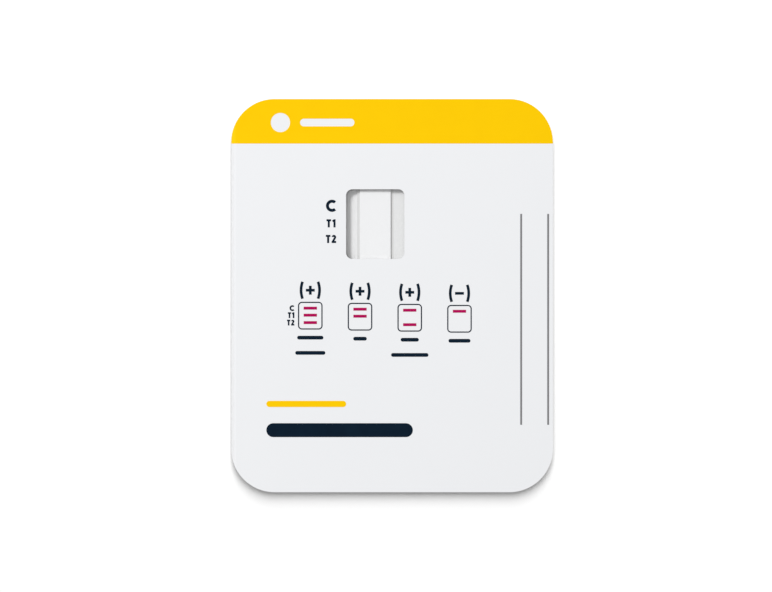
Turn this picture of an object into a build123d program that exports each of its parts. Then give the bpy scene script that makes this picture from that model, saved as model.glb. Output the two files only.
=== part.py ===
from build123d import *
import math
import os

# Test card, closed: a printed board cover folded like a book round two lining boards and a test strip.
# X runs to the open edge, Y to the head, Z out of the printed face.
# The origin is under the middle of the back. All sizes are millimetres.

# Card and its layers: its width and length follow from the stretches of print across and down it
corner_radius = 11.3
cover_ply = 0.5
fold_radius = 1.4
back_lining_ply = 0.75
front_lining_ply = 1.1
leaf_gap = 0.25
lining_inset = 0.4
lining_fold_clearance = 0.2

# Viewing window and the clear film behind it
window_width = 15.15
window_length = 18.1
window_radius = 1.65
window_from_left = 37.4
window_from_head = 32.45
film_ply = 0.08
film_margin = 1.2
film_clearance = 0.5

# Test strip, taped down to the back lining
strip_width = 8.0
tape_ply = 0.45
tape_margin = 0.7
tape_slot_clearance = 0.3
backing_ply = 0.2
membrane_ply = 0.22
pad_ply = 0.38
pad_lap = 2.0
pad_ramp = 0.6
pad_butt_gap = 0.2
window_to_pads = 2.0
sample_pad_length = 17.5
reagent_pad_length = 19.0
absorbent_pad_length = 12.0

# Pads in the front leaf, which meet the strip's end pads
leaf_pad_width = 14.0
leaf_pad_clearance = 0.04
wash_pad_end_gap = 0.3
wash_pad_overrun = 0.5
waste_pad_length = 17.0
slot_end_room = 1.0

# Closing adhesive down the open edge, and its peel-off liner
adhesive_ply = 0.08
adhesive_width = 8.0
adhesive_length = 80.0
adhesive_from_edge = 2.0
liner_ply = 0.1
liner_overhang = 0.5
liner_tab_length = 4.0
liner_corner_radius = 1.5

# Print, as thin ink on the front face
ink_ply = 0.03
header_height = 11.55
header_mark_diameter = 5.0
header_mark_from_left = 12.8
header_mark_from_head = 6.1
header_bar_width = 14.1
header_bar_height = 2.0
header_bar_gap = 2.6
title_from_left = 9.15
subtitle_bar_width = 20.7
subtitle_bar_height = 1.6
subtitle_below_key = 22.9
title_below_subtitle = 6.8
title_bar_width = 38.0
title_bar_height = 3.6
title_from_foot = 16.1
rule_width = 0.48
rule_length = 54.7
rule_from_head = 29.8
rule_from_edge = 1.25
rule_spacing = 7.0
key_to_rules = 16.0

# Zone marks beside the window: distance below its upper edge, height and stroke
zone_mark_gap = 3.9
zone_marks = {
    "C": (4.3, 3.15, 0.78),
    "T1": (8.85, 2.1, 0.52),
    "T2": (12.9, 2.1, 0.52),
}
letter_aspect = 0.56
letter_gap_share = 0.15

# Result key: a row of little windows, each under a sign in brackets
key_below_window = 14.7
key_from_left = 20.55
key_pitch = 12.9
key_drop = 0.27
key_width = 6.36
key_height = 7.2
key_corner_radius = 1.0
key_outline = 0.3
key_line_width = 3.43
key_line_height = 0.74
key_line_offsets = {"C": 1.95, "T1": 0.13, "T2": -1.8}
key_sign_above = 6.6
key_sign_size = 2.3
key_sign_stroke = 0.7
bracket_height = 4.4
bracket_radius = 6.5
bracket_spread = 4.8
key_mark_gap = 0.95
key_mark_height = 1.5
key_mark_stroke = 0.4
caption_below = 5.7
caption_line_pitch = 3.95
caption_height = 0.95
key_cases = [
    ("plus", ["C", "T1", "T2"], [6.8, 7.8]),
    ("plus", ["C", "T1"], [3.5]),
    ("plus", ["C", "T2"], [4.7, 9.7]),
    ("minus", ["C"], [5.7]),
]

# Heights in the stack
lining_floor = cover_ply + back_lining_ply
front_lining_bottom = lining_floor + leaf_gap
front_ply_bottom = front_lining_bottom + front_lining_ply
card_height = front_ply_bottom + cover_ply
backing_bottom = lining_floor + tape_ply
backing_top = backing_bottom + backing_ply
membrane_top = backing_top + membrane_ply

# Card size: across from the fold to the open edge, and down from the head to the foot
key_row_length = (len(key_cases) - 1) * key_pitch
card_width = key_from_left + key_row_length + key_to_rules + rule_spacing + rule_from_edge
head_to_key = window_from_head + window_length / 2 + key_below_window
card_length = head_to_key + subtitle_below_key + title_below_subtitle + title_from_foot

# Places across and along the card
left = -card_width / 2
right = card_width / 2
foot = -card_length / 2
head = card_length / 2
fold_centre_x = left + fold_radius
window_x = left + window_from_left
window_y = head - window_from_head
window_head = window_y + window_length / 2
window_foot = window_y - window_length / 2
key_y = window_foot - key_below_window
title_y = foot + title_from_foot
subtitle_y = title_y + title_below_subtitle
lining_left = fold_centre_x + lining_fold_clearance
film_width = window_width + 2 * film_margin
film_length = window_length + 2 * film_margin
slot_width = film_width + 2 * film_clearance

# Stations along the strip
absorbent_foot = window_head + window_to_pads
strip_head = absorbent_foot + absorbent_pad_length
membrane_head = absorbent_foot + pad_lap
sample_head = window_foot - window_to_pads
membrane_foot = sample_head - pad_lap
sample_foot = sample_head - sample_pad_length
reagent_head = sample_foot - pad_butt_gap
strip_foot = reagent_head - reagent_pad_length
wash_foot = membrane_head + pad_ramp + wash_pad_end_gap
wash_head = strip_head + wash_pad_overrun
leaf_pad_ply = front_ply_bottom - (backing_top + pad_ply) - leaf_pad_clearance


def block(x_low, x_high, y_low, y_high, z_low, z_high):
    """A plain board or pad between its faces."""
    middle = Pos((x_low + x_high) / 2, (y_low + y_high) / 2, z_low)
    return middle * extrude(Rectangle(x_high - x_low, y_high - y_low), z_high - z_low)


def card_prism(inset, z_low, z_high):
    """The round-cornered outline of the card, cut back by an inset, between two heights."""
    outline = RectangleRounded(card_width - 2 * inset, card_length - 2 * inset, corner_radius - inset)
    return Pos(0, 0, z_low) * extrude(outline, z_high - z_low)


def fold_sector(centre_z, first_angle, inner_radius, outer_radius):
    """An eighth of a turn of the rounded fold, in cross-section."""
    centre = (fold_centre_x, centre_z)
    outer = CenterArc(centre, outer_radius, first_angle, 45)
    inner = CenterArc(centre, inner_radius, first_angle, 45)
    return make_face(outer + Line(outer @ 1, inner @ 1) + inner + Line(inner @ 0, outer @ 0))


def section_strip(x_low, x_high, z_low, z_high):
    """A flat run of board, in cross-section."""
    return Pos((x_low + x_high) / 2, (z_low + z_high) / 2) * Rectangle(x_high - x_low, z_high - z_low)


def folded_board(section):
    """Board of one cross-section along the card, with the corners cut round after folding."""
    run = extrude(Plane.XZ * section, card_length / 2, both=True)
    return run & card_prism(0, -ink_ply, card_height + 2 * ink_ply)


def back_cover():
    """Back panel of the cover, up to the middle of the lower fold."""
    panel = section_strip(fold_centre_x, right, 0, cover_ply)
    fold = fold_sector(fold_radius, 225, fold_radius - cover_ply, fold_radius)
    return folded_board(panel + fold)


def spine():
    """Narrow strip of the cover between the middles of its two folds."""
    lower = fold_sector(fold_radius, 180, fold_radius - cover_ply, fold_radius)
    flat = section_strip(left, left + cover_ply, fold_radius, card_height - fold_radius)
    upper = fold_sector(card_height - fold_radius, 135, fold_radius - cover_ply, fold_radius)
    return folded_board(lower + flat + upper)


def front_cover():
    """Front panel of the cover, from the middle of the upper fold, with the window cut in it."""
    panel = section_strip(fold_centre_x, right, front_ply_bottom, card_height)
    fold = fold_sector(card_height - fold_radius, 90, fold_radius - cover_ply, fold_radius)
    window = extrude(RectangleRounded(window_width, window_length, window_radius), 2 * cover_ply, both=True)
    return folded_board(panel + fold) - Pos(window_x, window_y, card_height) * window


def lining_board(z_low, z_high):
    """Board glued inside a cover panel, cut back from the fold."""
    board = card_prism(lining_inset, z_low, z_high)
    return board & block(lining_left, right, foot, head, z_low, z_high)


def back_lining():
    """Plain board that stiffens the back leaf and carries the strip."""
    return lining_board(cover_ply, lining_floor)


def front_lining():
    """Board that stiffens the front leaf, with a long slot that drops over the strip."""
    slot_foot = strip_foot - slot_end_room
    slot_head = wash_head + slot_end_room
    slot_left = window_x - slot_width / 2
    slot_right = window_x + slot_width / 2
    slot = block(slot_left, slot_right, slot_foot, slot_head, front_lining_bottom, front_ply_bottom)
    return lining_board(front_lining_bottom, front_ply_bottom) - slot


def strip_tape():
    """Foam tape under the strip, with a narrow margin round it, and out to the lining's slot on the right."""
    tape_left = window_x - strip_width / 2 - tape_margin
    tape_right = window_x + slot_width / 2 - tape_slot_clearance
    tape_foot = strip_foot - tape_margin
    tape_head = strip_head + tape_margin
    return block(tape_left, tape_right, tape_foot, tape_head, lining_floor, backing_bottom)


def strip_layer(z_low, z_high, y_low, y_high):
    """One layer of the strip, centred under the window."""
    half = strip_width / 2
    return block(window_x - half, window_x + half, y_low, y_high, z_low, z_high)


def lapped_pad(outer_end, membrane_end, lap_end):
    """Strip pad that lies on the backing, climbs a short ramp and laps over the membrane's end."""
    ramp_end = membrane_end + math.copysign(pad_ramp, outer_end - membrane_end)
    side = Polyline(
        (outer_end, backing_top),
        (membrane_end, backing_top),
        (membrane_end, membrane_top),
        (lap_end, membrane_top),
        (lap_end, membrane_top + pad_ply),
        (membrane_end, membrane_top + pad_ply),
        (ramp_end, backing_top + pad_ply),
        (outer_end, backing_top + pad_ply),
        close=True,
    )
    middle = Plane.YZ.offset(window_x)
    return extrude(middle * make_face(side), strip_width / 2, both=True)


def leaf_pad(y_low, y_high):
    """Pad glued up under the front panel, inside the lining's slot."""
    half = leaf_pad_width / 2
    z_low = front_ply_bottom - leaf_pad_ply
    return block(window_x - half, window_x + half, y_low, y_high, z_low, front_ply_bottom)


def window_film():
    """Clear film glued behind the window."""
    film = extrude(RectangleRounded(film_width, film_length, window_radius), film_ply)
    return Pos(window_x, window_y, front_ply_bottom - film_ply) * film


def sealing_adhesive():
    """Double-sided adhesive strip that shuts the card along its open edge."""
    edge = right - adhesive_from_edge
    half = adhesive_length / 2
    return block(edge - adhesive_width, edge, -half, half, lining_floor, lining_floor + adhesive_ply)


def release_liner():
    """Peel-off liner on the adhesive, longer at the foot to make a pull tab."""
    z_low = lining_floor + adhesive_ply
    width = adhesive_width + 2 * liner_overhang
    length = adhesive_length + liner_tab_length
    x = right - adhesive_from_edge - adhesive_width / 2
    sheet = extrude(RectangleRounded(width, length, liner_corner_radius), liner_ply)
    return Pos(x, -liner_tab_length / 2, z_low) * sheet


def bar(x, y, width, height):
    """A plain printed bar with round ends."""
    return Pos(x, y) * SlotOverall(width, height)


def line_stroke(start, end, stroke):
    """A straight pen stroke with square ends."""
    length = math.dist(start, end)
    turn = math.degrees(math.atan2(end[1] - start[1], end[0] - start[0]))
    middle = Pos((start[0] + end[0]) / 2, (start[1] + end[1]) / 2)
    return middle * Rot(0, 0, turn) * Rectangle(length, stroke)


def arc_stroke(centre, radius, first_angle, sweep, stroke):
    """A curved pen stroke of one radius."""
    outer = CenterArc(centre, radius + stroke / 2, first_angle, sweep)
    inner = CenterArc(centre, radius - stroke / 2, first_angle, sweep)
    return make_face(outer + Line(outer @ 1, inner @ 1) + inner + Line(inner @ 0, outer @ 0))


def letter_c(height, stroke):
    """C as three quarters of a ring."""
    return arc_stroke((0, 0), (height - stroke) / 2, 48, 264, stroke)


def letter_t(height, stroke):
    """T as a bar on a stem."""
    half_width = letter_aspect * height / 2
    top = height / 2
    beam = line_stroke((-half_width, top - stroke / 2), (half_width, top - stroke / 2), stroke)
    return beam + line_stroke((0, -top), (0, top - stroke / 2), stroke)


def digit_1(height, stroke):
    """1 as a stem with a short flag."""
    top = height / 2
    flag = line_stroke((-height / 4, top - height / 4), (0, top - stroke / 2), stroke)
    return flag + line_stroke((0, -top), (0, top), stroke)


def digit_2(height, stroke):
    """2 as a hook, a slanted stroke and a base."""
    radius = (letter_aspect * height - stroke) / 2
    hook_centre = (0, height / 2 - stroke / 2 - radius)
    base_y = -height / 2 + stroke / 2
    hook_end = (radius * math.cos(math.radians(-35)), hook_centre[1] + radius * math.sin(math.radians(-35)))
    hook = arc_stroke(hook_centre, radius, -35, 205, stroke)
    slant = line_stroke(hook_end, (-radius, base_y), stroke)
    return hook + slant + line_stroke((-radius - stroke / 2, base_y), (radius + stroke / 2, base_y), stroke)


def zone_mark(name, height, stroke):
    """C, T1 or T2, centred across on its own middle."""
    step = (letter_aspect + letter_gap_share) * height / 2
    if name == "C":
        mark = letter_c(height, stroke)
    elif name == "T1":
        mark = Pos(-step, 0) * letter_t(height, stroke) + Pos(step, 0) * digit_1(height, stroke)
    else:
        mark = Pos(-step, 0) * letter_t(height, stroke) + Pos(step, 0) * digit_2(height, stroke)
    return Pos(-mark.bounding_box().center().X, 0) * mark


def key_sign(kind):
    """Plus or minus between round brackets."""
    half = key_sign_size / 2
    sign = line_stroke((-half, 0), (half, 0), key_sign_stroke)
    if kind == "plus":
        sign += line_stroke((0, -half), (0, half), key_sign_stroke)
    half_sweep = math.degrees(math.asin(bracket_height / 2 / bracket_radius))
    reach = bracket_radius - bracket_spread / 2
    sign += arc_stroke((reach, 0), bracket_radius, 180 - half_sweep, 2 * half_sweep, key_sign_stroke)
    sign += arc_stroke((-reach, 0), bracket_radius, -half_sweep, 2 * half_sweep, key_sign_stroke)
    return sign


def key_place(index):
    """Centre of one little window of the result key."""
    return (left + key_from_left + index * key_pitch, key_y - index * key_drop)


def key_frame():
    """Outline of a little window."""
    inner_width = key_width - 2 * key_outline
    inner_height = key_height - 2 * key_outline
    outer = RectangleRounded(key_width, key_height, key_corner_radius)
    return outer - RectangleRounded(inner_width, inner_height, key_corner_radius - key_outline)


def on_face(print_shape):
    """Ink of one shape, lying on the front face."""
    return Pos(0, 0, card_height) * extrude(print_shape, ink_ply)


def yellow_ink():
    """Band across the head, which follows the fold's curve, with bare shapes left in it, and a bar."""
    fold_top = card_height - fold_radius
    flat = section_strip(fold_centre_x, right, card_height, card_height + ink_ply)
    curl = fold_sector(fold_top, 90, fold_radius, fold_radius + ink_ply)
    band = folded_board(flat + curl)
    band &= block(left, right, head - header_height, head, 0, card_height + ink_ply)
    mark_x = left + header_mark_from_left
    mark_y = head - header_mark_from_head
    bar_x = mark_x + header_mark_diameter / 2 + header_bar_gap + header_bar_width / 2
    band -= on_face(Pos(mark_x, mark_y) * Circle(header_mark_diameter / 2))
    band -= on_face(bar(bar_x, mark_y, header_bar_width, header_bar_height))
    subtitle_x = left + title_from_left + subtitle_bar_width / 2
    return [band, on_face(bar(subtitle_x, subtitle_y, subtitle_bar_width, subtitle_bar_height))]


def window_zone_marks():
    """C, T1 and T2 in a column left of the window."""
    x = window_x - window_width / 2 - zone_mark_gap
    marks = []
    for name, (below, height, stroke) in zone_marks.items():
        marks.append(Pos(x, window_head - below) * zone_mark(name, height, stroke))
    return marks


def key_print():
    """Dark parts of the result key: frames, signs, captions and the first frame's zone marks."""
    shapes = []
    for index, (sign, _, captions) in enumerate(key_cases):
        x, y = key_place(index)
        shapes.append(Pos(x, y) * key_frame())
        shapes.append(Pos(x, y + key_sign_above) * key_sign(sign))
        for row, width in enumerate(captions):
            shapes.append(bar(x, y - caption_below - row * caption_line_pitch, width, caption_height))
    x, y = key_place(0)
    for name, offset in key_line_offsets.items():
        mark = zone_mark(name, key_mark_height, key_mark_stroke)
        mark_x = x - key_width / 2 - key_mark_gap - mark.bounding_box().max.X
        shapes.append(Pos(mark_x, y + offset) * mark)
    return shapes


def navy_ink():
    """All dark print."""
    title_x = left + title_from_left + title_bar_width / 2
    title = bar(title_x, title_y, title_bar_width, title_bar_height)
    return [on_face(shape) for shape in [title] + window_zone_marks() + key_print()]


def magenta_ink():
    """Result lines drawn in the little windows of the key."""
    lines = []
    for index, (_, zones, _) in enumerate(key_cases):
        x, y = key_place(index)
        for zone in zones:
            line = Pos(x, y + key_line_offsets[zone]) * Rectangle(key_line_width, key_line_height)
            lines.append(on_face(line))
    return lines


def grey_ink():
    """Pair of rules down the open edge, to write between."""
    y = head - rule_from_head - rule_length / 2
    outer_x = right - rule_from_edge
    rules = []
    for x in (outer_x, outer_x - rule_spacing):
        rules.append(on_face(Pos(x, y) * Rectangle(rule_width, rule_length)))
    return rules


nodes = {
    "back_cover": back_cover(),
    "back_lining": back_lining(),
    "strip_tape": strip_tape(),
    "strip_backing": strip_layer(backing_bottom, backing_top, strip_foot, strip_head),
    "membrane": strip_layer(backing_top, membrane_top, membrane_foot, membrane_head),
    "sample_pad": lapped_pad(sample_foot, membrane_foot, sample_head),
    "reagent_pad": strip_layer(backing_top, backing_top + pad_ply, strip_foot, reagent_head),
    "absorbent_pad": lapped_pad(strip_head, membrane_head, absorbent_foot),
    "sealing_adhesive": sealing_adhesive(),
    "release_liner": release_liner(),
    "spine": spine(),
    "front_cover": front_cover(),
    "front_lining": front_lining(),
    "window_film": window_film(),
    "wash_pad": leaf_pad(wash_foot, wash_head),
    "waste_pad": leaf_pad(strip_foot, strip_foot + waste_pad_length),
    "yellow_ink": Compound(children=yellow_ink()),
    "navy_ink": Compound(children=navy_ink()),
    "magenta_ink": Compound(children=magenta_ink()),
    "grey_ink": Compound(children=grey_ink()),
}

os.makedirs("parts", exist_ok=True)
for node, shape in nodes.items():
    export_step(shape, f"parts/{node}.step")
    print(node, round(shape.volume, 3))
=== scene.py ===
import math

import bmesh
import bpy
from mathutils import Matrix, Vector


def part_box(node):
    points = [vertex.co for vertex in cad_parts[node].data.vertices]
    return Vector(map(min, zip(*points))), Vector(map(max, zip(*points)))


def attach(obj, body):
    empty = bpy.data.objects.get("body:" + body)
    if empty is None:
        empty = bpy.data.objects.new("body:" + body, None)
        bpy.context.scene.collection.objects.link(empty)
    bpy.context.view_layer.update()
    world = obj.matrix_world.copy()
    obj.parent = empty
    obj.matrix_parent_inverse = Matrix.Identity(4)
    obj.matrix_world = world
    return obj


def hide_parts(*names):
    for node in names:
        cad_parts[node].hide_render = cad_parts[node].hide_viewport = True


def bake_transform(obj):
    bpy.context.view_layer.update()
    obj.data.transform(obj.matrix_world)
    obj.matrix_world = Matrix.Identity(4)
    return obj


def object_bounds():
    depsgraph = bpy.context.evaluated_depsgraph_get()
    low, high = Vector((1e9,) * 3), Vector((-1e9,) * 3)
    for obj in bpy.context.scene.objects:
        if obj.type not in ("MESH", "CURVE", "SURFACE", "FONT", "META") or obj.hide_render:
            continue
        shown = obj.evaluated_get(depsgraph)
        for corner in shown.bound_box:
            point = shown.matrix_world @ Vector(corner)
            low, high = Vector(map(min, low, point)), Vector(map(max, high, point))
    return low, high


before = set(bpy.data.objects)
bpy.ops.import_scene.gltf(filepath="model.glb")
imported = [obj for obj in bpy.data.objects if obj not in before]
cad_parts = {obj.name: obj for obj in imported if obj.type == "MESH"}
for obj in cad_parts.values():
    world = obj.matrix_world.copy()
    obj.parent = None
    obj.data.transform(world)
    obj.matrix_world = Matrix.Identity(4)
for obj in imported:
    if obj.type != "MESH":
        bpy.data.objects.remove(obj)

cad_low, cad_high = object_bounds()

# Back panel of the cover
# The lower half of the folded cover: board coated white outside and bare inside, scored and folded up
# along the left edge. Its corners are punched round after folding, so the cut shows the fibre.

board_ply = 0.0005
fold_radius = 0.0014
fold_steps = 14
corner_radius = 0.0113
corner_segments = 32
cut_overshoot = 0.001
cut_edge_round = 0.00005
edge_round_segments = 2
weld_distance = 1e-7

# Cosines that tell which way a face or an edge runs.
along_axis = 0.9
half_turned = 0.5
across_axis = 0.01

sharp_turn = math.radians(40)
# Turn from flat at which the cracks and the painted shade along a fold reach full strength.
full_wear_and_shade_turn = math.radians(30)

coating_colours = ((0.858, 0.868, 0.887), (0.872, 0.881, 0.898))
# Painted shade: the coating is darker where it turns round the fold, and darker still in its hairline cracks.
coating_fold_shade = (0.775, 0.782, 0.797)
coating_cracks_and_shade = (0.71, 0.715, 0.725)
coating_roughness = (0.42, 0.52)
crack_length = 9.0
crack_range = (0.42, 0.62)
lining_colours = ((0.785, 0.785, 0.79), (0.85, 0.852, 0.857))
lining_roughness = (0.7, 0.9)
fleck_turn = 0.5
fleck_length = 6.0
fleck_contrast = (-0.5, 1.5)
cut_colours = ((0.66, 0.65, 0.61), (0.86, 0.855, 0.83))
cut_layering = 14.0
cut_contrast = (-0.4, 1.4)
board_noise_roughness = 0.6

card_left, card_foot = cad_low.x, cad_low.y
card_right, card_head = cad_high.x, cad_high.y
face_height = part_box("front_cover")[1].z
fold_x = card_left + fold_radius
mid_spine = face_height / 2

COATED, CUT, BARE = 0, 1, 2


def add_block(name, low, high):
    """A block between two corners, with its place in its mesh."""
    low, high = Vector(low), Vector(high)
    bpy.ops.object.select_all(action="DESELECT")
    bpy.ops.mesh.primitive_cube_add(size=1, location=(low + high) / 2, scale=high - low)
    bpy.ops.object.transform_apply(location=True, rotation=True, scale=True)
    block = bpy.context.object
    block.name = name
    block.data.name = name
    return block


def open_with_faces(piece, wanted):
    """Puts a piece in edit mode with only the wanted faces selected."""
    bpy.ops.object.select_all(action="DESELECT")
    piece.select_set(True)
    bpy.context.view_layer.objects.active = piece
    bpy.ops.object.mode_set(mode="EDIT")
    bpy.ops.mesh.select_mode(type="FACE")
    bpy.ops.mesh.select_all(action="DESELECT")
    mesh = bmesh.from_edit_mesh(piece.data)
    mesh.normal_update()
    for face in mesh.faces:
        face.select_set(wanted(face))
    bmesh.update_edit_mesh(piece.data)


def round_uprights(piece, radius, segments):
    """Rounds the four upright edges of a block."""
    bpy.context.view_layer.objects.active = piece
    bpy.ops.object.mode_set(mode="EDIT")
    bpy.ops.mesh.select_mode(type="EDGE")
    bpy.ops.mesh.select_all(action="DESELECT")
    mesh = bmesh.from_edit_mesh(piece.data)
    for edge in mesh.edges:
        run = edge.verts[1].co - edge.verts[0].co
        edge.select_set(abs(run.z) > along_axis * run.length)
    bmesh.update_edit_mesh(piece.data)
    bpy.ops.mesh.bevel(offset=radius, segments=segments, profile=0.5, affect="EDGES")
    bpy.ops.object.mode_set(mode="OBJECT")


def cut_with(piece, cutter, operation):
    """Cuts a piece with another shape, which is used up."""
    modifier = piece.modifiers.new("cut", "BOOLEAN")
    modifier.operation = operation
    modifier.solver = "EXACT"
    modifier.object = cutter
    bpy.ops.object.select_all(action="DESELECT")
    bpy.context.view_layer.objects.active = piece
    bpy.ops.object.modifier_apply(modifier="cut")
    bpy.data.objects.remove(cutter)


def punch_corners(piece):
    """Cuts a piece back to the card's round-cornered outline."""
    low = (card_left, card_foot, -cut_overshoot)
    high = (card_right, card_head, cad_high.z + cut_overshoot)
    punch = add_block("punch", low, high)
    round_uprights(punch, corner_radius, corner_segments)
    cut_with(piece, punch, "INTERSECT")


def fold_centre(is_front):
    """Height of the upper or the lower fold's centre."""
    return face_height - fold_radius if is_front else fold_radius


def folded_panel(name, low_z, high_z, foot_y, head_y):
    """A panel with its quarter-turn fold and half the spine; a front panel folds down, a back one up."""
    is_front = low_z > mid_spine
    centre_z = fold_centre(is_front)
    far_x = card_right + cut_overshoot
    panel = add_block(name, (fold_x, foot_y, low_z), (far_x, head_y, high_z))
    open_with_faces(panel, lambda face: face.normal.x < -along_axis)
    turn = math.radians(90 if is_front else -90)
    centre = (fold_x, 0, centre_z)
    bpy.ops.mesh.spin(steps=fold_steps, angle=turn, center=centre, axis=(0, 1, 0))
    drop = (0, 0, mid_spine - centre_z)
    bpy.ops.mesh.extrude_region_move(TRANSFORM_OT_translate={"value": drop})
    bpy.ops.mesh.select_all(action="SELECT")
    bpy.ops.mesh.remove_doubles(threshold=weld_distance)
    bpy.ops.mesh.normals_make_consistent(inside=False)
    bpy.ops.object.mode_set(mode="OBJECT")
    punch_corners(panel)
    return panel


def mark_faces(panel, is_front):
    """Gives the outside, the punched edges and the inside their material slots."""
    outward = 1 if is_front else -1
    for face in panel.data.polygons:
        on_fold = face.center.x < fold_x and abs(face.normal.y) < across_axis
        run_out = max(fold_x - face.center.x, 0)
        rise = max(outward * (face.center.z - fold_centre(is_front)), 0)
        if not on_fold and abs(face.normal.z) < half_turned:
            face.material_index = CUT
        elif math.hypot(run_out, rise) < fold_radius - board_ply / 2:
            face.material_index = BARE
        else:
            face.material_index = COATED


def mark_bend(piece, is_front):
    """Stores how far the surface has turned from flat, which the fold's cracks and painted shade follow."""
    outward = 1 if is_front else -1
    bend = piece.data.attributes.new("bend", "FLOAT", "POINT")
    for point, vertex in zip(bend.data, piece.data.vertices):
        run_out = max(fold_x - vertex.co.x, 0)
        rise = max(outward * (vertex.co.z - fold_centre(is_front)), 0)
        point.value = min(math.atan2(run_out, rise) / full_wear_and_shade_turn, 1)


def ease_edges(piece, width):
    """Takes the knife edge off every sharp corner of a piece and shades it smooth."""
    bevel = piece.modifiers.new("ease", "BEVEL")
    bevel.width = width
    bevel.segments = edge_round_segments
    bevel.limit_method = "ANGLE"
    bevel.angle_limit = sharp_turn
    bpy.ops.object.select_all(action="DESELECT")
    piece.select_set(True)
    bpy.context.view_layer.objects.active = piece
    bpy.ops.object.modifier_apply(modifier="ease")
    bpy.ops.object.shade_smooth_by_angle(angle=sharp_turn)
    piece.modifiers.new("flats", "WEIGHTED_NORMAL").keep_sharp = True
    bpy.ops.object.modifier_apply(modifier="flats")


def new_material(name):
    """A material with its own shader, and the tree that holds them."""
    material = bpy.data.materials.new(name)
    material.use_nodes = True
    return material, material.node_tree, material.node_tree.nodes["Principled BSDF"]


def add_node(tree, kind, settings=(), **values):
    """A shader node with its settings and the values of its named inputs."""
    made = tree.nodes.new(kind)
    for setting, value in dict(settings).items():
        setattr(made, setting, value)
    for name, value in values.items():
        made.inputs[name.replace("_", " ")].default_value = value
    return made


def noise_of(tree, position, scale, detail, roughness):
    """A noise texture on given coordinates."""
    noise = add_node(tree, "ShaderNodeTexNoise", Scale=scale, Detail=detail, Roughness=roughness)
    tree.links.new(position, noise.inputs["Vector"])
    return noise.outputs["Fac"]


def object_place(tree):
    """Object coordinates, in metres."""
    return tree.nodes.new("ShaderNodeTexCoord").outputs["Object"]


def mapped_place(tree, kind, scale, turn=0.0):
    """Object coordinates scaled by axis: a TEXTURE mapping draws features out, a POINT one packs them."""
    lay = add_node(tree, "ShaderNodeMapping", {"vector_type": kind}, Rotation=(0, 0, turn), Scale=scale)
    tree.links.new(object_place(tree), lay.inputs["Vector"])
    return lay.outputs["Vector"]


def spread(tree, value, low, high):
    """A mask between 0 and 1 mapped to a working range."""
    ranged = add_node(tree, "ShaderNodeMapRange", To_Min=low, To_Max=high)
    tree.links.new(value, ranged.inputs["Value"])
    return ranged.outputs["Result"]


def blend_colours(tree, mask, first, second):
    """The colour that a mask picks between two others, each a plain colour or another node's."""
    mix = tree.nodes.new("ShaderNodeMix")
    mix.data_type = "RGBA"
    tree.links.new(mask, mix.inputs["Factor"])
    for name, colour in (("A", first), ("B", second)):
        if isinstance(colour, tuple):
            mix.inputs[name].default_value = (*colour, 1)
        else:
            tree.links.new(colour, mix.inputs[name])
    return mix.outputs["Result"]


def raise_surface(tree, shader, height, strength, distance):
    """Bump from a height mask."""
    bump = add_node(tree, "ShaderNodeBump", Strength=strength, Distance=distance)
    tree.links.new(height, bump.inputs["Height"])
    tree.links.new(bump.outputs["Normal"], shader.inputs["Normal"])


def make_board_surface():
    """Shared effect: the cloudy formation of pressed board, and its fine grain."""
    group = bpy.data.node_groups.new("board surface", "ShaderNodeTree")
    for name in ("Cloud Scale", "Grain Scale"):
        group.interface.new_socket(name, in_out="INPUT", socket_type="NodeSocketFloat")
    for name in ("Cloud", "Grain"):
        group.interface.new_socket(name, in_out="OUTPUT", socket_type="NodeSocketFloat")
    given = group.nodes.new("NodeGroupInput")
    result = group.nodes.new("NodeGroupOutput")
    position = object_place(group)
    for name, detail in (("Cloud", 3.0), ("Grain", 5.0)):
        noise = add_node(group, "ShaderNodeTexNoise", Detail=detail, Roughness=board_noise_roughness)
        group.links.new(position, noise.inputs["Vector"])
        group.links.new(given.outputs[name + " Scale"], noise.inputs["Scale"])
        group.links.new(noise.outputs["Fac"], result.inputs[name])
    return group


board_surface = make_board_surface()


def board_masks(tree, cloud_scale, grain_scale):
    """The board surface effect in a material, at its own scale."""
    effect = tree.nodes.new("ShaderNodeGroup")
    effect.node_tree = board_surface
    effect.inputs["Cloud Scale"].default_value = cloud_scale
    effect.inputs["Grain Scale"].default_value = grain_scale
    return effect.outputs["Cloud"], effect.outputs["Grain"]


def make_crease_wear_and_shade():
    """Shared effect: where the surface is bent round a fold, for painted shade, and the hairline cracks along
    it.
    """
    group = bpy.data.node_groups.new("crease wear and shade", "ShaderNodeTree")
    for name in ("Bent", "Cracks"):
        group.interface.new_socket(name, in_out="OUTPUT", socket_type="NodeSocketFloat")
    result = group.nodes.new("NodeGroupOutput")
    bend = add_node(group, "ShaderNodeAttribute", {"attribute_name": "bend"}).outputs["Fac"]
    group.links.new(bend, result.inputs["Bent"])
    along = mapped_place(group, "TEXTURE", (1.0, crack_length, 1.0))
    lines = noise_of(group, along, scale=6000.0, detail=4.0, roughness=0.7)
    cracks = add_node(group, "ShaderNodeMapRange", From_Min=crack_range[0], From_Max=crack_range[1])
    group.links.new(lines, cracks.inputs["Value"])
    within = add_node(group, "ShaderNodeMath", {"operation": "MULTIPLY"})
    group.links.new(cracks.outputs["Result"], within.inputs[0])
    group.links.new(bend, within.inputs[1])
    group.links.new(within.outputs["Value"], result.inputs["Cracks"])
    return group


crease_wear_and_shade = make_crease_wear_and_shade()


def worn_and_shaded_along_fold(tree, flat, fold_shade, cracks_and_shade):
    """A colour that gives way to a darker one, painted shade, where the board is bent, with cracks in it."""
    effect = tree.nodes.new("ShaderNodeGroup")
    effect.node_tree = crease_wear_and_shade
    bent = blend_colours(tree, effect.outputs["Cracks"], fold_shade, cracks_and_shade)
    return blend_colours(tree, effect.outputs["Bent"], flat, bent)


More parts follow.
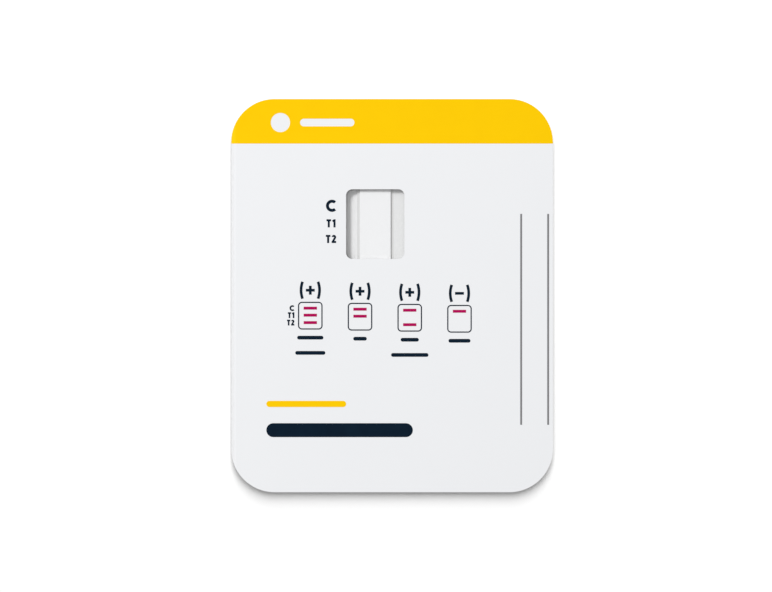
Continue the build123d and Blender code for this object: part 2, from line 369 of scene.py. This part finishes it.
def coated_board():
    """Smooth white clay coating with a satin varnish, and painted shade with cracks round the fold."""
    material, tree, shader = new_material("coated_board")
    cloud, grain = board_masks(tree, cloud_scale=70.0, grain_scale=2200.0)
    flat = blend_colours(tree, cloud, *coating_colours)
    # Painted shade where the coating turns round the fold, with hairline cracks in it.
    colour = worn_and_shaded_along_fold(tree, flat, coating_fold_shade, coating_cracks_and_shade)
    tree.links.new(colour, shader.inputs["Base Color"])
    tree.links.new(spread(tree, cloud, *coating_roughness), shader.inputs["Roughness"])
    raise_surface(tree, shader, grain, strength=0.12, distance=0.00002)
    shader.inputs["Specular IOR Level"].default_value = 0.08
    return material


def lining_board():
    """Uncoated board, whose fibres show as faint long flecks."""
    material, tree, shader = new_material("lining_board")
    cloud, grain = board_masks(tree, cloud_scale=160.0, grain_scale=3000.0)
    along = mapped_place(tree, "TEXTURE", (1.0, fleck_length, 1.0), fleck_turn)
    flecks = noise_of(tree, along, scale=2600.0, detail=3.0, roughness=0.7)
    colour = blend_colours(tree, spread(tree, flecks, *fleck_contrast), *lining_colours)
    tree.links.new(colour, shader.inputs["Base Color"])
    tree.links.new(spread(tree, cloud, *lining_roughness), shader.inputs["Roughness"])
    raise_surface(tree, shader, grain, strength=0.25, distance=0.00003)
    shader.inputs["Specular IOR Level"].default_value = 0.25
    return material


def cut_board():
    """Bare fibre along a punched edge, in layers as the board was pressed."""
    material, tree, shader = new_material("cut_board")
    packed = mapped_place(tree, "POINT", (1.0, 1.0, cut_layering))
    layers = noise_of(tree, packed, scale=900.0, detail=4.0, roughness=0.65)
    colour = blend_colours(tree, spread(tree, layers, *cut_contrast), *cut_colours)
    tree.links.new(colour, shader.inputs["Base Color"])
    raise_surface(tree, shader, layers, strength=0.5, distance=0.00006)
    shader.inputs["Roughness"].default_value = 0.88
    return material


coated_board_material = coated_board()
cut_board_material = cut_board()
lining_material = lining_board()


def finish_panel(panel, is_front):
    """Materials, eased edges and bend marks of a cover panel."""
    panel.data.materials.clear()
    for material in (coated_board_material, cut_board_material, lining_material):
        panel.data.materials.append(material)
    mark_faces(panel, is_front)
    ease_edges(panel, cut_edge_round)
    mark_bend(panel, is_front)


back_panel = folded_panel(
    "back_cover_board", 0, board_ply, card_foot - cut_overshoot, card_head + cut_overshoot
)
finish_panel(back_panel, is_front=False)
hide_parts("back_cover", "spine")
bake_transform(back_panel)


# Lining boards
# Two stiffer boards of the same bare stock, cut with square edges and glued inside the panels.
# The front one has a long slot that drops over the strip when the card is shut.


def dress_node(name, material):
    """Gives a CAD node that keeps its own shape a material of its own."""
    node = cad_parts[name]
    node.data.materials.clear()
    node.data.materials.append(material)


for lining in ("back_lining", "front_lining"):
    dress_node(lining, lining_material)


# Test strip: foam tape, backing card and membrane
# Thin plastic card stuck down on white foam tape, which is wider on the right, with a strip of cast
# nitrocellulose on its middle. The membrane is unused, so it is blank, and it shows in the window.

tape_margin = 0.0007
tape_margin_fade = 0.0001
tape_colours = ((0.735, 0.74, 0.745), (0.815, 0.82, 0.825))
# Painted shade on the tape in a narrow band along both sides of the strip.
tape_margin_shade = (0.655, 0.655, 0.655)
backing_colours = ((0.85, 0.85, 0.86), (0.89, 0.89, 0.9))
backing_roughness = (0.25, 0.4)
knife_drag_packing = 0.02
membrane_colours = ((0.868, 0.873, 0.886), (0.885, 0.889, 0.899))
membrane_roughness = (0.8, 0.95)

backing_low, backing_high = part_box("strip_backing")
backing_centre_x = (backing_low.x + backing_high.x) / 2
backing_half = (backing_high.x - backing_low.x) / 2


def shade_beside_strip(tree):
    """1 on the tape's narrow margins along the strip's two sides, where painted shade goes, 0 further out."""
    place = tree.nodes.new("ShaderNodeSeparateXYZ")
    tree.links.new(object_place(tree), place.inputs["Vector"])
    offset = add_node(tree, "ShaderNodeMath", {"operation": "SUBTRACT"})
    offset.inputs[1].default_value = backing_centre_x
    tree.links.new(place.outputs["X"], offset.inputs[0])
    distance = add_node(tree, "ShaderNodeMath", {"operation": "ABSOLUTE"})
    tree.links.new(offset.outputs["Value"], distance.inputs[0])
    edge = backing_half + tape_margin
    mask = add_node(tree, "ShaderNodeMapRange", From_Min=edge + tape_margin_fade, From_Max=edge)
    tree.links.new(distance.outputs["Value"], mask.inputs["Value"])
    return mask.outputs["Result"]


def foam_tape():
    """White foam with fine closed cells, with painted shade in a narrow band along the strip's sides."""
    material, tree, shader = new_material("foam_tape")
    cells = add_node(tree, "ShaderNodeTexVoronoi", Scale=4200.0)
    tree.links.new(object_place(tree), cells.inputs["Vector"])
    unshaded = blend_colours(tree, cells.outputs["Distance"], *tape_colours)
    # Painted shade along both sides of the strip.
    colour = blend_colours(tree, shade_beside_strip(tree), unshaded, tape_margin_shade)
    tree.links.new(colour, shader.inputs["Base Color"])
    raise_surface(tree, shader, cells.outputs["Distance"], strength=0.3, distance=0.00002)
    shader.inputs["Roughness"].default_value = 0.7
    shader.inputs["Specular IOR Level"].default_value = 0.2
    return material


def strip_backing():
    """White plastic card with a faint drag from the knife along the strip."""
    material, tree, shader = new_material("strip_backing")
    along = mapped_place(tree, "POINT", (1.0, knife_drag_packing, 1.0))
    drag = noise_of(tree, along, scale=5000.0, detail=2.0, roughness=0.5)
    tree.links.new(blend_colours(tree, drag, *backing_colours), shader.inputs["Base Color"])
    tree.links.new(spread(tree, drag, *backing_roughness), shader.inputs["Roughness"])
    raise_surface(tree, shader, drag, strength=0.15, distance=0.00001)
    return material


def nitrocellulose():
    """Chalky cast membrane: matt, even, with the finest pores."""
    material, tree, shader = new_material("nitrocellulose")
    position = object_place(tree)
    pores = noise_of(tree, position, scale=9000.0, detail=3.0, roughness=0.7)
    drift = noise_of(tree, position, scale=180.0, detail=2.0, roughness=0.5)
    tree.links.new(blend_colours(tree, drift, *membrane_colours), shader.inputs["Base Color"])
    tree.links.new(spread(tree, pores, *membrane_roughness), shader.inputs["Roughness"])
    raise_surface(tree, shader, pores, strength=0.2, distance=0.00001)
    shader.inputs["Specular IOR Level"].default_value = 0.3
    return material


dress_node("strip_tape", foam_tape())
dress_node("strip_backing", strip_backing())
dress_node("membrane", nitrocellulose())


# Pads of the strip
# Slips of pressed fibre: a dyed one that takes the sample, a white one below it, and an absorbent one at
# the head. Two of them climb a short ramp and lap over the ends of the membrane.

pad_side_round = 0.00009
pad_lap_ramp = 0.0006
pad_cells_across = 36
nap_depth = 0.00002
nap_scale = 0.0012
nap_smooth_turn = math.radians(60)
fibre_turns = (0.2, 1.3, 2.4)
fibre_length = 7.0
felt_range = (0.45, 0.75)
dyed_colours = ((0.20, 0.045, 0.13), (0.42, 0.16, 0.30))
white_colours = ((0.74, 0.74, 0.72), (0.90, 0.90, 0.88))

backing_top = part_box("strip_backing")[1].z
membrane_low, membrane_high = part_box("membrane")


def make_pad_fibres():
    """Shared effect: felted fibres, as stretched flecks laid over each other in three directions."""
    group = bpy.data.node_groups.new("pad fibres", "ShaderNodeTree")
    group.interface.new_socket("Fineness", in_out="INPUT", socket_type="NodeSocketFloat")
    group.interface.new_socket("Felt", in_out="OUTPUT", socket_type="NodeSocketFloat")
    given = group.nodes.new("NodeGroupInput")
    result = group.nodes.new("NodeGroupOutput")
    total = None
    for turn in fibre_turns:
        along = mapped_place(group, "TEXTURE", (1.0, fibre_length, 1.0), turn)
        flecks = add_node(group, "ShaderNodeTexNoise", Detail=2.0, Roughness=0.55)
        group.links.new(along, flecks.inputs["Vector"])
        group.links.new(given.outputs["Fineness"], flecks.inputs["Scale"])
        if total is None:
            total = flecks.outputs["Fac"]
            continue
        higher = add_node(group, "ShaderNodeMath", {"operation": "MAXIMUM"})
        group.links.new(total, higher.inputs[0])
        group.links.new(flecks.outputs["Fac"], higher.inputs[1])
        total = higher.outputs["Value"]
    group.links.new(total, result.inputs["Felt"])
    return group


pad_fibres = make_pad_fibres()


def fibre_pad(name, colours, fineness):
    """Felted pad in two tones of one colour, the deeper one between the fibres."""
    material, tree, shader = new_material(name)
    effect = tree.nodes.new("ShaderNodeGroup")
    effect.node_tree = pad_fibres
    effect.inputs["Fineness"].default_value = fineness
    felt = effect.outputs["Felt"]
    mask = add_node(tree, "ShaderNodeMapRange", From_Min=felt_range[0], From_Max=felt_range[1])
    tree.links.new(felt, mask.inputs["Value"])
    tree.links.new(blend_colours(tree, mask.outputs["Result"], *colours), shader.inputs["Base Color"])
    raise_surface(tree, shader, felt, strength=0.8, distance=0.00006)
    shader.inputs["Roughness"].default_value = 0.95
    shader.inputs["Specular IOR Level"].default_value = 0.2
    return material


def felt_surface(pad, across):
    """Divides a pad finely and presses its surface into a soft, uneven nap."""
    ease_edges(pad, pad_side_round)
    bpy.ops.object.mode_set(mode="EDIT")
    size = pad.dimensions
    cell = size.x / across
    for axis, length in ((0, size.x), (1, size.y)):
        for step in range(1, round(length / cell)):
            bpy.ops.mesh.select_all(action="SELECT")
            place = [0, 0, 0]
            normal = [0, 0, 0]
            place[axis] = min(corner[axis] for corner in pad.bound_box) + step * cell
            normal[axis] = 1
            bpy.ops.mesh.bisect(plane_co=place, plane_no=normal)
    bpy.ops.object.mode_set(mode="OBJECT")
    nap = bpy.data.textures.new("nap", "CLOUDS")
    nap.noise_scale = nap_scale
    nap.noise_depth = 2
    lift = pad.modifiers.new("nap", "DISPLACE")
    lift.texture = nap
    lift.texture_coords = "LOCAL"
    lift.strength = nap_depth
    lift.mid_level = 1.0
    bpy.ops.object.modifier_apply(modifier="nap")
    bpy.ops.object.shade_smooth_by_angle(angle=nap_smooth_turn)


def flat_pad(name, node):
    """A plain slip of pad in the place of its node."""
    low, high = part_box(node)
    return add_block(name, low, high)


def lapped_pad(name, node, outward):
    """A slip that lies on the backing, then climbs and laps over the membrane's end."""
    low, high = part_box(node)
    lift = membrane_high.z - backing_top
    top = high.z - lift
    if outward > 0:
        bed_low, bed_high = membrane_high.y + pad_lap_ramp, high.y
        lap = low.y - membrane_high.y
    else:
        bed_low, bed_high = low.y, membrane_low.y - pad_lap_ramp
        lap = high.y - membrane_low.y
    pad = add_block(name, (low.x, bed_low, backing_top), (high.x, bed_high, top))
    open_with_faces(pad, lambda face: face.normal.y * outward < -along_axis)
    climb = (0, -outward * pad_lap_ramp, lift)
    bpy.ops.mesh.extrude_region_move(TRANSFORM_OT_translate={"value": climb})
    bpy.ops.mesh.extrude_region_move(TRANSFORM_OT_translate={"value": (0, lap, 0)})
    bpy.ops.mesh.select_all(action="SELECT")
    bpy.ops.mesh.normals_make_consistent(inside=False)
    bpy.ops.object.mode_set(mode="OBJECT")
    return pad


def finish_pad(pad, node, body, material):
    """Surface, material and place of a pad."""
    felt_surface(pad, pad_cells_across)
    pad.data.materials.clear()
    pad.data.materials.append(material)
    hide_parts(node)
    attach(pad, body)


dyed_pad = fibre_pad("dyed_pad", dyed_colours, fineness=2600.0)
white_pad = fibre_pad("white_pad", white_colours, fineness=2200.0)

sample_slip = lapped_pad("dyed_sample_pad", "sample_pad", outward=-1)
finish_pad(sample_slip, "sample_pad", "back_leaf", dyed_pad)
reagent_slip = flat_pad("white_reagent_pad", "reagent_pad")
finish_pad(reagent_slip, "reagent_pad", "back_leaf", white_pad)
absorbent_slip = lapped_pad("white_absorbent_pad", "absorbent_pad", outward=1)
finish_pad(absorbent_slip, "absorbent_pad", "back_leaf", white_pad)


# Closing adhesive and its liner
# A strip of milky double-sided adhesive down the open edge, under a waxed, cream peel-off paper.
# The liner is longer than the adhesive, so that its end makes a pull tab.

adhesive_colours = ((0.78, 0.76, 0.66), (0.88, 0.86, 0.78))
liner_colours = ((0.77, 0.70, 0.50), (0.85, 0.80, 0.63))
liner_contrast = (-0.3, 1.3)
liner_roughness = (0.2, 0.34)


def adhesive():
    """Milky adhesive with small trapped bubbles."""
    material, tree, shader = new_material("adhesive")
    bubbles = add_node(tree, "ShaderNodeTexVoronoi", Scale=1500.0)
    tree.links.new(object_place(tree), bubbles.inputs["Vector"])
    colour = blend_colours(tree, bubbles.outputs["Distance"], *adhesive_colours)
    tree.links.new(colour, shader.inputs["Base Color"])
    shader.inputs["Roughness"].default_value = 0.2
    return material


def liner_paper():
    """Silicone-waxed paper, glossy over its fibres."""
    material, tree, shader = new_material("liner_paper")
    cloud, grain = board_masks(tree, cloud_scale=260.0, grain_scale=2600.0)
    colour = blend_colours(tree, spread(tree, cloud, *liner_contrast), *liner_colours)
    tree.links.new(colour, shader.inputs["Base Color"])
    tree.links.new(spread(tree, grain, *liner_roughness), shader.inputs["Roughness"])
    raise_surface(tree, shader, grain, strength=0.2, distance=0.00002)
    return material


dress_node("sealing_adhesive", adhesive())
dress_node("release_liner", liner_paper())


# Front panel of the cover
# The upper half of the folded cover, in the same board, with the round-cornered window punched through.
# It carries the print, and it turns down round the upper fold.

window_width = 0.01515
window_length = 0.0181
window_radius = 0.00165
window_segments = 12

film_low, film_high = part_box("window_film")
window_centre = (film_low + film_high) / 2


def punch_window(panel):
    """Cuts the window through a panel."""
    half = Vector((window_width / 2, window_length / 2, 0))
    reach = Vector((0, 0, board_ply + cut_overshoot))
    punch = add_block("window_punch", window_centre - half - reach, window_centre + half + reach)
    round_uprights(punch, window_radius, window_segments)
    cut_with(panel, punch, "DIFFERENCE")


front_panel = folded_panel(
    "front_cover_board",
    face_height - board_ply, face_height, card_foot - cut_overshoot, card_head + cut_overshoot,
)
punch_window(front_panel)
finish_panel(front_panel, is_front=True)
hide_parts("front_cover", "spine")
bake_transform(front_panel)


# Window film
# A slip of clear polyester glued behind the window, seen only where it catches the light.
# It is too thin to bend what shows through it.

film_colour = (0.97, 0.98, 0.98, 1)


def clear_film():
    """Clear film: a faint gloss over whatever lies behind."""
    material, tree, shader = new_material("clear_film")
    ripple = noise_of(tree, object_place(tree), scale=120.0, detail=1.0, roughness=0.4)
    raise_surface(tree, shader, ripple, strength=0.05, distance=0.0002)
    shader.inputs["Base Color"].default_value = film_colour
    shader.inputs["Roughness"].default_value = 0.06
    shader.inputs["Alpha"].default_value = 0.05
    return material


dress_node("window_film", clear_film())


# Pads of the front leaf
# Two wider slips of the same white felt, glued up under the front panel inside the lining's slot.
# They press on the ends of the strip while the card is shut.

for pad_node, pad_name in (("wash_pad", "white_wash_pad"), ("waste_pad", "white_waste_pad")):
    finish_pad(flat_pad(pad_name, pad_node), pad_node, "front_leaf", white_pad)


# Print on the front panel
# Four inks printed on the coating before the board was cut: a yellow band round the head, with a disc and
# a bar left bare in it, and a yellow bar, then dark marks, magenta result lines and grey writing rules.

ink_ply = cad_high.z - face_height
header_height = 0.01155
header_mark_radius = 0.0025
header_mark_from_left = 0.0128
header_mark_from_head = 0.0061
header_bar_size = (0.0141, 0.002)
header_bar_gap = 0.0026
header_mark_segments = 48
subtitle_bar_size = (0.0207, 0.0016)
subtitle_from_left = 0.00915
subtitle_from_foot = 0.0229
bar_end_share = 0.499
bar_end_segments = 12
print_smooth_turn = math.radians(30)

yellow_colours = ((0.975, 0.59, 0.0), (0.995, 0.61, 0.0))
# Painted shade where the yellow turns round the fold, darker still in its cracks.
yellow_fold_shade = (0.93, 0.575, 0.0)
yellow_cracks_and_shade = (0.88, 0.55, 0.01)
yellow_roughness = (0.4, 0.5)
navy_colours = ((0.002, 0.012, 0.026), (0.0006, 0.006, 0.016))
magenta_colours = ((0.46, 0.004, 0.1), (0.41, 0.001, 0.08))
grey_colours = ((0.24, 0.24, 0.25), (0.2, 0.2, 0.21))
dark_ink_roughness = (0.42, 0.52)
ink_contrast = (-0.2, 1.2)


def printed_ink(name, colours, roughness, fold_shade=None, cracks_and_shade=None):
    """Ink on the coating: laid a little unevenly, with the board's grain showing, with painted shade and
    cracks where it folds.
    """
    material, tree, shader = new_material(name)
    cloud, grain = board_masks(tree, cloud_scale=220.0, grain_scale=2200.0)
    colour = blend_colours(tree, spread(tree, cloud, *ink_contrast), *colours)
    # Painted shade and cracks where the ink turns round the fold.
    if fold_shade:
        colour = worn_and_shaded_along_fold(tree, colour, fold_shade, cracks_and_shade)
    tree.links.new(colour, shader.inputs["Base Color"])
    tree.links.new(spread(tree, grain, *roughness), shader.inputs["Roughness"])
    raise_surface(tree, shader, grain, strength=0.12, distance=0.00002)
    shader.inputs["Specular IOR Level"].default_value = 0.06
    return material


def round_bar(name, centre_x, centre_y, size, overshoot=0):
    """A bar with round ends, as deep as the ink, or taller by an overshoot on both sides."""
    half = Vector((size[0] / 2, size[1] / 2, overshoot))
    middle = Vector((centre_x, centre_y, face_height))
    made = add_block(name, middle - half, middle + half + Vector((0, 0, ink_ply)))
    round_uprights(made, bar_end_share * size[1], bar_end_segments)
    return made


mark_x = card_left + header_mark_from_left
mark_y = card_head - header_mark_from_head
bar_x = mark_x + header_mark_radius + header_bar_gap + header_bar_size[0] / 2

yellow_print = folded_panel(
    "yellow_print", face_height, cad_high.z, card_head - header_height, card_head + cut_overshoot
)
bpy.ops.object.select_all(action="DESELECT")
bpy.ops.mesh.primitive_cylinder_add(
    vertices=header_mark_segments, radius=header_mark_radius, depth=2 * cut_overshoot,
    location=(mark_x, mark_y, face_height),
)
bpy.ops.object.transform_apply(location=True, rotation=True, scale=True)
cut_with(yellow_print, bpy.context.object, "DIFFERENCE")
header_bar = round_bar("header_bar", bar_x, mark_y, header_bar_size, cut_overshoot)
cut_with(yellow_print, header_bar, "DIFFERENCE")

subtitle_x = card_left + subtitle_from_left + subtitle_bar_size[0] / 2
subtitle_bar = round_bar("subtitle_bar", subtitle_x, card_foot + subtitle_from_foot, subtitle_bar_size)
bpy.ops.object.select_all(action="DESELECT")
subtitle_bar.select_set(True)
yellow_print.select_set(True)
bpy.context.view_layer.objects.active = yellow_print
bpy.ops.object.join()
bpy.ops.object.shade_smooth_by_angle(angle=print_smooth_turn)

yellow_ink = printed_ink("yellow_ink", yellow_colours, yellow_roughness, yellow_fold_shade, yellow_cracks_and_shade)
yellow_print.data.materials.clear()
yellow_print.data.materials.append(yellow_ink)
mark_bend(yellow_print, is_front=True)
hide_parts("yellow_ink")
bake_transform(yellow_print)

plain_inks = (("navy_ink", navy_colours), ("magenta_ink", magenta_colours), ("grey_ink", grey_colours))
for ink_name, ink_colours in plain_inks:
    dress_node(ink_name, printed_ink(ink_name, ink_colours, dark_ink_roughness))


# Studio
# A plain white table and a pale surround, a soft key light from the upper left that casts the window's
# inner shadows, and a long light over the head that only reaches the table and leaves a shadow at the foot.

photo_width = 772
photo_height = 592
pixel_size = 0.0002594
card_centre_pixel = (392.0, 295.6)
camera_distance = 1.1
sensor_width = 36.0
table_size = 6.0
table_drop = 0.00001
table_colours = ((0.9, 0.9, 0.9), (0.92, 0.92, 0.92))
key_direction = Vector((-1.0, 1.0, 1.35)).normalized()
key_distance = 2.6
key_size = (0.65, 0.65)
key_power = 58.5
head_height = 1.3
head_from_zenith = 0.15
head_size = (0.7, 2.2)
head_power = 37.0
surround_strength = 0.4
table_bounce = 0.42


def seen_directly(tree):
    """1 for rays from the camera and for reflected or transmitted ones, 0 for scattered light."""
    ray = tree.nodes.new("ShaderNodeLightPath")
    seen = ray.outputs["Is Camera Ray"]
    for other in ("Is Glossy Ray", "Is Transmission Ray"):
        either = add_node(tree, "ShaderNodeMath", {"operation": "MAXIMUM"})
        tree.links.new(seen, either.inputs[0])
        tree.links.new(ray.outputs[other], either.inputs[1])
        seen = either.outputs["Value"]
    return seen


def table_top():
    """Matt white table, which throws less light back at the card than it shows."""
    material, tree, shader = new_material("table_top")
    cloud, grain = board_masks(tree, cloud_scale=6.0, grain_scale=400.0)
    shown = blend_colours(tree, cloud, *table_colours)
    scattered = (table_bounce, table_bounce, table_bounce)
    tree.links.new(blend_colours(tree, seen_directly(tree), scattered, shown), shader.inputs["Base Color"])
    shader.inputs["Roughness"].default_value = 0.9
    shader.inputs["Specular IOR Level"].default_value = 0.1
    return material


def surround():
    """Pale studio all round: white to the camera and in reflections, softer as a light."""
    world = bpy.data.worlds.new("surround")
    bpy.context.scene.world = world
    world.use_nodes = True
    tree = world.node_tree
    strength = spread(tree, seen_directly(tree), surround_strength, 1.0)
    tree.links.new(strength, tree.nodes["Background"].inputs["Strength"])
    tree.nodes["Background"].inputs["Color"].default_value = (1, 1, 1, 1)


def add_lamp(name, place, facing, size, power):
    """A soft oblong light, which faces against a direction."""
    lamp = bpy.data.lights.new(name, "AREA")
    lamp.shape = "RECTANGLE"
    lamp.size, lamp.size_y = size
    lamp.energy = power
    holder = bpy.data.objects.new(name, lamp)
    bpy.context.scene.collection.objects.link(holder)
    holder.location = place
    holder.rotation_euler = facing.to_track_quat("Z", "Y").to_euler()
    return holder


def link_light(lamp, target, state):
    """Keeps a light to one object, or keeps it off that object."""
    group = bpy.data.collections.new(lamp.name + " receivers")
    group.objects.link(target)
    group.collection_objects[0].light_linking.link_state = state
    lamp.light_linking.receiver_collection = group


bpy.ops.object.select_all(action="DESELECT")
bpy.ops.mesh.primitive_plane_add(size=table_size, location=(0, 0, -table_drop))
bpy.ops.object.transform_apply(location=True, rotation=True, scale=True)
table = bpy.context.object
table.name = "table"
table.data.materials.append(table_top())

surround()
key_light = add_lamp("key_light", key_direction * key_distance, key_direction, key_size, key_power)
head_place = Vector((0, head_from_zenith + head_size[1] / 2, head_height))
head_light = add_lamp("head_light", head_place, Vector((0, 0, 1)), head_size, head_power)
link_light(key_light, table, "EXCLUDE")
link_light(head_light, table, "INCLUDE")

camera_data = bpy.data.cameras.new("camera")
camera = bpy.data.objects.new("camera", camera_data)
bpy.context.scene.collection.objects.link(camera)
camera_data.sensor_width = sensor_width
camera_data.lens = sensor_width * camera_distance / (photo_width * pixel_size)
camera.location = (
    (photo_width / 2 - card_centre_pixel[0]) * pixel_size,
    (card_centre_pixel[1] - photo_height / 2) * pixel_size,
    face_height + camera_distance,
)
bpy.context.scene.camera = camera
bpy.context.scene.view_settings.view_transform = "Standard"
